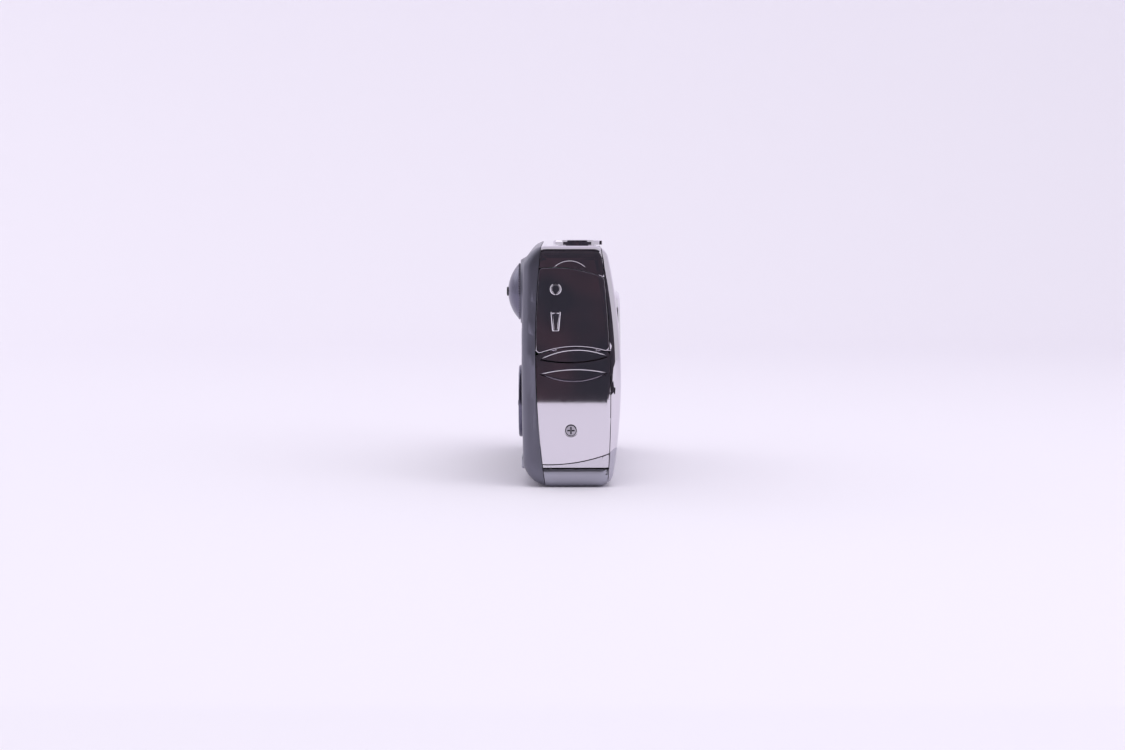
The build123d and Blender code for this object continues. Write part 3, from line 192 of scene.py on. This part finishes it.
# ---- materials ----------------------------------------------------------------------------------------------
def material(name, color, metallic, roughness, grain=0.0, grain_scale=900.0, bump=0.0, **sockets):
    """A Principled material whose roughness and surface vary with a fine noise over the object."""
    made = bpy.data.materials.new(name)
    made.use_nodes = True
    nodes, links = made.node_tree.nodes, made.node_tree.links
    shader = nodes["Principled BSDF"]
    shader.inputs["Base Color"].default_value = (*color, 1)
    shader.inputs["Metallic"].default_value = metallic
    shader.inputs["Roughness"].default_value = roughness
    for socket, value in sockets.items():
        shader.inputs[socket.replace("_", " ")].default_value = value
    place = nodes.new("ShaderNodeTexCoord")
    noise = nodes.new("ShaderNodeTexNoise")
    noise.inputs["Scale"].default_value = grain_scale
    noise.inputs["Detail"].default_value = 4
    links.new(place.outputs["Object"], noise.inputs["Vector"])
    if grain:
        spread = nodes.new("ShaderNodeMapRange")
        spread.inputs["To Min"].default_value = max(roughness - grain, 0.01)
        spread.inputs["To Max"].default_value = roughness + grain
        links.new(noise.outputs["Fac"], spread.inputs["Value"])
        links.new(spread.outputs["Result"], shader.inputs["Roughness"])
    if bump:
        relief = nodes.new("ShaderNodeBump")
        relief.inputs["Strength"].default_value = bump
        relief.inputs["Distance"].default_value = 0.02 * MM
        links.new(noise.outputs["Fac"], relief.inputs["Height"])
        links.new(relief.outputs["Normal"], shader.inputs["Normal"])
    return made


FOOT_LINE = {"From Min": -8.4, "From Max": -10.35, "To Min": 7.8, "To Max": 9.2}  # mm: y, y, height, height


def split_below_line(made, low_color, low_roughness):
    """Turns the front cover satin below the curved line near its foot."""
    nodes, links = made.node_tree.nodes, made.node_tree.links
    shader = nodes["Principled BSDF"]
    place = nodes.new("ShaderNodeTexCoord")
    axes = nodes.new("ShaderNodeSeparateXYZ")
    links.new(place.outputs["Object"], axes.inputs["Vector"])
    line = nodes.new("ShaderNodeMapRange")  # the line's height, from its y
    for socket, value in FOOT_LINE.items():
        line.inputs[socket].default_value = value * MM
    links.new(axes.outputs["Y"], line.inputs["Value"])
    above = nodes.new("ShaderNodeMath")
    above.operation = "GREATER_THAN"
    links.new(axes.outputs["Z"], above.inputs[0])
    links.new(line.outputs["Result"], above.inputs[1])
    color = nodes.new("ShaderNodeMix")
    color.data_type = "RGBA"
    color.inputs["A"].default_value = (*low_color, 1)
    color.inputs["B"].default_value = shader.inputs["Base Color"].default_value
    links.new(above.outputs["Value"], color.inputs["Factor"])
    links.new(color.outputs["Result"], shader.inputs["Base Color"])
    rough = nodes.new("ShaderNodeMix")
    rough.inputs["A"].default_value = low_roughness
    links.new(above.outputs["Value"], rough.inputs["Factor"])
    links.new(shader.inputs["Roughness"].links[0].from_socket, rough.inputs["B"])
    links.new(rough.outputs["Result"], shader.inputs["Roughness"])
    return made


def make_materials():
    """One finish for each material slot of the record."""
    s = settings()
    chrome, paint = tuple(s.chrome), tuple(s.paint)
    return {
        "bright_chrome": material("bright_chrome", chrome, 1.0, 0.03, 0.01, 700, 0.012),
        "rim_chrome": material("rim_chrome", (0.9, 0.88, 0.92), 1.0, 0.16, 0.03, 700, 0.02),
        "titanium_paint": material("titanium_paint", paint, 0.75, 0.36, 0.06, 5000, 0.08, Coat_Weight=0.15),
        "satin_trim": material("satin_trim", (0.4, 0.4, 0.46), 0.9, 0.32, 0.05, 3000, 0.05),
        "dial_metal": material("dial_metal", (0.15, 0.145, 0.2), 0.9, 0.26, 0.05, 3500, 0.05),
        "steel": material("steel", (0.55, 0.55, 0.57), 1.0, 0.28, 0.06, 2500, 0.05),
        "black_plastic": material("black_plastic", (0.018, 0.018, 0.022), 0.0, 0.5, 0.08, 4000, 0.12),
        "dark_gloss": material("dark_gloss", (0.012, 0.012, 0.016), 0.0, 0.16, 0.03, 800, 0.01),
        "clear_pane": material("clear_pane", (0.75, 0.78, 0.82), 0.1, 0.07, 0.02, 500, 0.01, Coat_Weight=1.0),
        "screen_glass": material("screen_glass", (0.012, 0.012, 0.016), 0.0, 0.05, 0.01, 500, 0.0,
                                 Coat_Weight=1.0),
        "board_green": material("board_green", (0.01, 0.11, 0.05), 0.0, 0.35, 0.08, 1500, 0.1),
        "battery_wrap": material("battery_wrap", (0.05, 0.055, 0.07), 0.0, 0.42, 0.05, 2500, 0.05),
        "brass_contact": material("brass_contact", (0.75, 0.52, 0.2), 1.0, 0.25, 0.05, 2000, 0.03),
        "mirror_sheet": material("mirror_sheet", (0.9, 0.9, 0.92), 1.0, 0.05, 0.01, 900, 0.01),
        "latch_orange": material("latch_orange", (0.75, 0.16, 0.02), 0.0, 0.3, 0.04, 2500, 0.04),
        "white_moulding": material("white_moulding", (0.75, 0.74, 0.7), 0.0, 0.35, 0.05, 2500, 0.05),
    }


def paint_shade_in_hollows(made):
    """Paints shade into a metal's base colour in its slots and corners, from ambient occlusion."""
    nodes, links = made.node_tree.nodes, made.node_tree.links
    shader = nodes["Principled BSDF"]
    hollow, curve, mix = (nodes.new(kind) for kind in
                          ("ShaderNodeAmbientOcclusion", "ShaderNodeMath", "ShaderNodeMix"))
    hollow.inputs["Distance"].default_value = 0.6 * MM
    curve.operation = "POWER"
    curve.inputs[1].default_value = 4
    mix.data_type = "RGBA"
    # painted shade: the near-black colour that ambient occlusion mixes into the base colour in the hollows
    mix.inputs["A"].default_value = (0.01, 0.01, 0.012, 1)
    mix.inputs["B"].default_value = shader.inputs["Base Color"].default_value
    links.new(hollow.outputs["AO"], curve.inputs[0])
    links.new(curve.outputs["Value"], mix.inputs["Factor"])
    links.new(mix.outputs["Result"], shader.inputs["Base Color"])


def ribbed_pane():
    """Flash window: pale plastic with fine upright ridges."""
    made = material("ribbed_pane", (0.62, 0.64, 0.68), 0.15, 0.12, 0.03, 500, 0.0, Coat_Weight=1.0)
    nodes, links = made.node_tree.nodes, made.node_tree.links
    place, wave, relief = (nodes.new(kind) for kind in
                           ("ShaderNodeTexCoord", "ShaderNodeTexWave", "ShaderNodeBump"))
    wave.inputs["Scale"].default_value = 420
    relief.inputs["Strength"].default_value = 0.9
    relief.inputs["Distance"].default_value = 0.25 * MM
    links.new(place.outputs["Object"], wave.inputs["Vector"])
    links.new(wave.outputs["Fac"], relief.inputs["Height"])
    links.new(relief.outputs["Normal"], nodes["Principled BSDF"].inputs["Normal"])
    return made


class POCKETCAM_OT_finish(bpy.types.Operator):
    """Gives every CAD node its finish, and rounds the sharp edges of what shows"""

    bl_idname = "pocketcam.finish"
    bl_label = "Finish the nodes"

    def execute(self, context):
        finishes = make_materials()
        front = material("front_chrome", tuple(settings().chrome), 1.0, 0.03, 0.01, 700, 0.012)
        split_below_line(front, (0.5, 0.49, 0.55), 0.34)
        foot = material("foot_strip", (0.66, 0.64, 0.69), 1.0, 0.14, 0.03, 900, 0.01)
        screws = material("screw_steel", (0.5, 0.48, 0.52), 1.0, 0.16, 0.05, 2500, 0.05)
        # painted shade in the screws' cross slots and seats
        paint_shade_in_hollows(screws)
        special = {"front_cover": front, "flash_window": ribbed_pane(),
                   "finder_window": finishes["screen_glass"],
                   "focus_lamp": finishes["latch_orange"], "lens_ring": finishes["rim_chrome"],
                   "outer_barrel": finishes["satin_trim"], "grip_foot": foot,
                   "control_ring": finishes["dial_metal"],
                   "case_screws": screws}
        slots = {part["node"]: part["material_slot"] for part in frame["record"]["subparts"]}
        for name, node in frame["nodes"].items():
            chosen = special.get(name, finishes[slots[name]])
            node.data.materials.clear()
            node.data.materials.append(chosen)
        for name in ("front_cover", "rear_cover", "top_cover", "side_panel", "base_cover", "grip_foot",
                     "end_panel", "port_door", "battery_door"):
            round_edges(frame["nodes"][name])
        return {"FINISHED"}


def round_edges(node):
    """Joins a node's loose triangles and bevels its sharp edges, by modifiers alone."""
    weld = node.modifiers.new("weld", "WELD")
    weld.merge_threshold = 0.001 * MM
    bevel = node.modifiers.new("edges", "BEVEL")
    bevel.width = settings().edge_round
    bevel.segments = 2
    bevel.limit_method = "ANGLE"
    bevel.angle_limit = radians(40)
    bevel.harden_normals = False


MARK_ASIDE = 3.9 * MM  # from the middle of the door towards the rear
RING_MARK = 1.35 * MM


class POCKETCAM_OT_door_marks(bpy.types.Operator):
    """Two raised outlines on the connector door: a ring, and a tapered one below it"""

    bl_idname = "pocketcam.door_marks"
    bl_label = "Door marks"

    def execute(self, context):
        s = settings()
        low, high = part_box("port_door")
        jack_low, jack_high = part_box("av_jack")
        usb_low, usb_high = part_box("usb_socket")
        lift = Vector((-s.mark_height, 0, 0))
        face = low[0] + 0.01 * MM
        finish = bpy.data.materials["bright_chrome"]

        def loop(points, centre):
            return [Vector((face, centre[0] + a, centre[1] + b)) for a, b in points]

        across = (low[1] + high[1]) / 2 + MARK_ASIDE
        jack = (across, (jack_low[2] + jack_high[2]) / 2)
        ring = raised_band("jack_mark", loop(circle(RING_MARK), jack),
                           loop(circle(RING_MARK - s.mark_line), jack), lift)
        usb = (across, (usb_low[2] + usb_high[2]) / 2)

        def taper(inset):
            narrow, wide, tall = 0.8 * MM - inset, 1.2 * MM - inset, 2.3 * MM - inset
            corners = [(-narrow, -tall), (narrow, -tall), (wide, tall), (-wide, tall)]
            return round_corners(corners, max(0.35 * MM - inset, 0.08 * MM))

        socket = raised_band("socket_mark", loop(taper(0), usb), loop(taper(s.mark_line), usb), lift)
        for piece in (ring, socket):
            piece.data.materials.append(finish)
            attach(piece, "port_door")
        return {"FINISHED"}


SLOT_RIMS = {  # mm: the crest's y and z of each arc, its radius, its two ends in y, and the rod's radius
    "slot_rim_upper": (-1.5, 32.0, 18.0, -8.1, 6.9, 0.2),
    "slot_rim_lower": (-1.2, 27.5, 32.0, -8.1, 6.9, 0.2),
    "notch_rim": (0.3, 52.55, 4.95, -3.3, 3.9, 0.13),
}


class POCKETCAM_OT_slot_rims(bpy.types.Operator):
    """Bright rolled rims over the two strap slots and round the finger-nail notch"""

    bl_idname = "pocketcam.slot_rims"
    bl_label = "Slot rims"

    def execute(self, context):
        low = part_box("side_panel")[0]
        for name, (crest_y, crest_z, radius, start, end, thick) in SLOT_RIMS.items():
            points = []
            for i in range(41):
                y = start + (end - start) * i / 40
                drop = radius - (radius**2 - (y - crest_y) ** 2) ** 0.5
                points.append(Vector((low[0] + thick * 0.45 * MM, y * MM, (crest_z - drop) * MM)))
            rim = rod_along(name, points, thick * MM)
            rim.data.materials.append(bpy.data.materials["rim_chrome"])
            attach(rim, "root")
        return {"FINISHED"}


class POCKETCAM_OT_pad_marks(bpy.types.Operator):
    """Four arrow heads raised on the control ring"""

    bl_idname = "pocketcam.pad_marks"
    bl_label = "Control ring marks"

    def execute(self, context):
        low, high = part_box("control_ring")
        centre = Vector(((low[0] + high[0]) / 2, high[1] - 0.01 * MM, (low[2] + high[2]) / 2))
        reach = (high[0] - low[0]) / 2 * 0.72
        for k, side in enumerate(("up", "left", "down", "right")):
            turn = k * pi / 2
            points = []
            for a, b in ((-0.6, -0.35), (0.6, -0.35), (0.0, 0.55)):
                across, out = a * MM, reach + b * MM
                points.append(centre + Vector((across * cos(turn) - out * sin(turn), 0,
                                               across * sin(turn) + out * cos(turn))))
            piece = raised_plate(f"arrow_{side}", points, Vector((0, settings().mark_height * 0.6, 0)))
            piece.data.materials.append(bpy.data.materials["black_plastic"])
            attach(piece, "control_ring")
        return {"FINISHED"}


def rib_nodes():
    """Geometry Nodes: short rods set round a circle, standing along Y."""
    tree = bpy.data.node_groups.new("dial_ribs", "GeometryNodeTree")
    face = tree.interface
    face.new_socket("Geometry", in_out="OUTPUT", socket_type="NodeSocketGeometry")
    for name, kind in (("Count", "NodeSocketInt"), ("Circle", "NodeSocketFloat"),
                       ("Radius", "NodeSocketFloat"), ("Length", "NodeSocketFloat"),
                       ("Centre", "NodeSocketVector"),
                       ("Finish", "NodeSocketMaterial")):
        face.new_socket(name, in_out="INPUT", socket_type=kind)
    nodes, links = tree.nodes, tree.links
    given, out = nodes.new("NodeGroupInput"), nodes.new("NodeGroupOutput")
    ring = nodes.new("GeometryNodeMeshCircle")
    rod = nodes.new("GeometryNodeMeshCylinder")
    rod.inputs["Vertices"].default_value = 10
    spread = nodes.new("GeometryNodeInstanceOnPoints")
    place = nodes.new("GeometryNodeTransform")
    place.inputs["Rotation"].default_value = (pi / 2, 0, 0)
    real = nodes.new("GeometryNodeRealizeInstances")
    paint = nodes.new("GeometryNodeSetMaterial")
    for a, b in ((given.outputs["Count"], ring.inputs["Vertices"]),
                 (given.outputs["Circle"], ring.inputs["Radius"]),
                 (given.outputs["Radius"], rod.inputs["Radius"]),
                 (given.outputs["Length"], rod.inputs["Depth"]),
                 (ring.outputs["Mesh"], spread.inputs["Points"]),
                 (rod.outputs["Mesh"], spread.inputs["Instance"]),
                 (spread.outputs["Instances"], place.inputs["Geometry"]),
                 (given.outputs["Centre"], place.inputs["Translation"]),
                 (place.outputs["Geometry"], real.inputs["Geometry"]),
                 (real.outputs["Geometry"], paint.inputs["Geometry"]),
                 (given.outputs["Finish"], paint.inputs["Material"]),
                 (paint.outputs["Geometry"], out.inputs["Geometry"])):
        links.new(a, b)
    return tree


CAP_SINK, DIAL_HIGH = 0.5 * MM, 2.9 * MM  # the cap's depth in the dial, and the dial's height
RIB_LENGTH, RIB_SINK = 0.35 * MM, 0.06 * MM


class POCKETCAM_OT_dial_ribs(bpy.types.Operator):
    """Fine ribs round the rim of the mode dial"""

    bl_idname = "pocketcam.dial_ribs"
    bl_label = "Dial ribs"

    def execute(self, context):
        s = settings()
        low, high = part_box("mode_dial")
        cap_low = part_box("dial_cap")[0]
        radius = (high[0] - low[0]) / 2
        rim_low = cap_low[1] + CAP_SINK - DIAL_HIGH
        carrier = bpy.data.objects.new("rib_maker", bpy.data.meshes.new("rib_maker"))
        bpy.context.scene.collection.objects.link(carrier)
        modifier = carrier.modifiers.new("ribs", "NODES")
        modifier.node_group = rib_nodes()
        values = {"Count": s.rib_count, "Circle": radius - RIB_SINK, "Radius": s.rib_radius,
                  "Length": RIB_LENGTH,
                  "Centre": ((low[0] + high[0]) / 2, rim_low + 0.2 * MM, (low[2] + high[2]) / 2),
                  "Finish": bpy.data.materials["dial_metal"]}
        for item in modifier.node_group.interface.items_tree:
            if item.in_out == "INPUT":
                modifier[item.identifier] = values[item.name]
        deps = bpy.context.evaluated_depsgraph_get()
        mesh = bpy.data.meshes.new_from_object(carrier.evaluated_get(deps), depsgraph=deps)
        bpy.data.objects.remove(carrier)
        ribs = bpy.data.objects.new("dial_ribs", mesh)
        bpy.context.scene.collection.objects.link(ribs)
        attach(ribs, "mode_dial")
        return {"FINISHED"}


def room_material():
    """The dim room before the grip end: near black, with a few soft reddish patches."""
    made = material("dark_card", (0.02, 0.018, 0.027), 0.0, 0.8, 0.1, 6, 0.0)
    nodes, links = made.node_tree.nodes, made.node_tree.links
    place, noise, ramp = (nodes.new(kind) for kind in
                          ("ShaderNodeTexCoord", "ShaderNodeTexNoise", "ShaderNodeValToRGB"))
    noise.inputs["Scale"].default_value = 55
    noise.inputs["Detail"].default_value = 1
    shades = ((0.48, (0.019, 0.019, 0.027, 1)), (0.72, (0.05, 0.028, 0.036, 1)))
    for stop, (position, shade) in zip(ramp.color_ramp.elements, shades):
        stop.position, stop.color = position, shade
    links.new(place.outputs["Object"], noise.inputs["Vector"])
    links.new(noise.outputs["Fac"], ramp.inputs["Fac"])
    links.new(ramp.outputs["Color"], nodes["Principled BSDF"].inputs["Base Color"])
    return made


class POCKETCAM_OT_studio(bpy.types.Operator):
    """Pale sweep, soft lights, dark cards before and over the chromed end, and the camera"""

    bl_idname = "pocketcam.studio"
    bl_label = "Studio"

    def execute(self, context):
        s, scene = settings(), bpy.context.scene
        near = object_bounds()[0][0]
        room = 221 * MM  # how far before the grip end the pale floor stops and the dim room begins
        sweep = self.sweep(near - room, 0.45, 0.45, 1.1)
        apron = self.apron(near - 1200 * MM, near - room, 0.9)
        edge, lid_end, half, top = near - room, near + 0.2, 0.7, 1.1
        cards = [self.card("dark_end", [(edge, -half, 0), (edge, half, 0),
                                        (edge, half, top), (edge, -half, top)]),
                 self.card("dark_lid", [(edge, -half, top), (edge, half, top),
                                        (lid_end, half, top), (lid_end, -half, top)])]
        lights = [self.light("key", (-0.2, -0.1, 0.8), 0.7, 2.6),
                  self.light("fill", (-0.5, -0.75, 0.45), 0.5, 0.9),
                  self.light("back", (0.45, 0.55, 0.5), 0.6, 0.9)]
        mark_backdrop(sweep, apron, *cards, *lights)
        scene.world = scene.world or bpy.data.worlds.new("studio")
        scene.world.use_nodes = True
        sky = scene.world.node_tree.nodes["Background"]
        sky.inputs["Color"].default_value = (0.86, 0.83, 0.92, 1)
        sky.inputs["Strength"].default_value = 0.82
        eye = bpy.data.objects.new("studio_camera", bpy.data.cameras.new("studio_camera"))
        scene.collection.objects.link(eye)
        eye.data.lens = s.lens_mm
        eye.data.clip_start, eye.data.clip_end = 0.01, 10
        eye.location = (near - s.distance, 1.95 * MM, 64.6 * MM)
        eye.rotation_euler = (radians(90 - 4.39), 0, radians(-90))
        scene.camera = eye
        scene.view_settings.view_transform = "Standard"
        return {"FINISHED"}

    def sweep(self, front, back, half, height):
        """Floor that curves up into a wall."""
        bm = bmesh.new()
        bend = 0.25
        path = [(front, 0.0), (back, 0.0)]
        path += [(back + bend * sin(a * pi / 32), bend * (1 - cos(a * pi / 32))) for a in range(1, 17)]
        path.append((back + bend, height))
        sides = [[bm.verts.new((x, y, z - 0.05 * MM)) for x, z in path] for y in (-half * 2, half * 2)]
        for i in range(len(path) - 1):
            bm.faces.new((sides[0][i], sides[0][i + 1], sides[1][i + 1], sides[1][i])).smooth = True
        made = mesh_object("sweep", bm)
        made.data.materials.append(material("sweep", tuple(settings().backdrop), 0.0, 0.75, 0.05, 300, 0.0))
        return made

    def apron(self, front, back, half):
        """The floor towards the camera, which reflections don't see."""
        bm = bmesh.new()
        z = -0.05 * MM
        corners = ((front, -half, z), (back, -half, z), (back, half, z), (front, half, z))
        bm.faces.new([bm.verts.new(p) for p in corners])
        made = mesh_object("apron", bm)
        made.data.materials.append(bpy.data.materials["sweep"])
        made.visible_glossy = False
        return made

    def card(self, name, corners):
        """Dark card that only reflections see."""
        bm = bmesh.new()
        bm.faces.new([bm.verts.new(corner) for corner in corners])
        made = mesh_object(name, bm)
        made.data.materials.append(room_material())
        made.visible_camera = False
        made.visible_diffuse = False
        made.visible_shadow = False
        return made

    def light(self, name, place, size, power):
        """A soft square light aimed at the object."""
        lamp = bpy.data.lights.new(name, "AREA")
        lamp.size, lamp.energy = size, power
        made = bpy.data.objects.new(name, lamp)
        made.location = place
        made.visible_glossy = name != "key"
        aim = Vector((0, 0, 0.03)) - Vector(place)
        made.rotation_euler = aim.to_track_quat("-Z", "Y").to_euler()
        bpy.context.scene.collection.objects.link(made)
        return made


class POCKETCAM_PT_panel(bpy.types.Panel):
    """The add-on's buttons, in the order in which they are meant to be pressed"""

    bl_label = "Pocket camera"
    bl_space_type = "VIEW_3D"
    bl_region_type = "UI"
    bl_category = "Pocket camera"

    def draw(self, context):
        for name in PocketCameraSettings.__annotations__:
            self.layout.prop(settings(), name)
        for step in STEPS:
            self.layout.operator(step.bl_idname)


STEPS = (POCKETCAM_OT_finish, POCKETCAM_OT_door_marks, POCKETCAM_OT_slot_rims, POCKETCAM_OT_pad_marks,
         POCKETCAM_OT_dial_ribs, POCKETCAM_OT_studio)


def register():
    for cls in (PocketCameraSettings, *STEPS, POCKETCAM_PT_panel):
        bpy.utils.register_class(cls)
    bpy.types.Scene.pocket_camera = bpy.props.PointerProperty(type=PocketCameraSettings)


def unregister():
    del bpy.types.Scene.pocket_camera
    for cls in reversed((PocketCameraSettings, *STEPS, POCKETCAM_PT_panel)):
        bpy.utils.unregister_class(cls)


def main():
    register()
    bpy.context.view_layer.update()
    bpy.ops.pocketcam.finish()
    bpy.ops.pocketcam.door_marks()
    bpy.ops.pocketcam.slot_rims()
    bpy.ops.pocketcam.pad_marks()
    bpy.ops.pocketcam.dial_ribs()
    bpy.ops.pocketcam.studio()


if __name__ == "__main__":
    main()
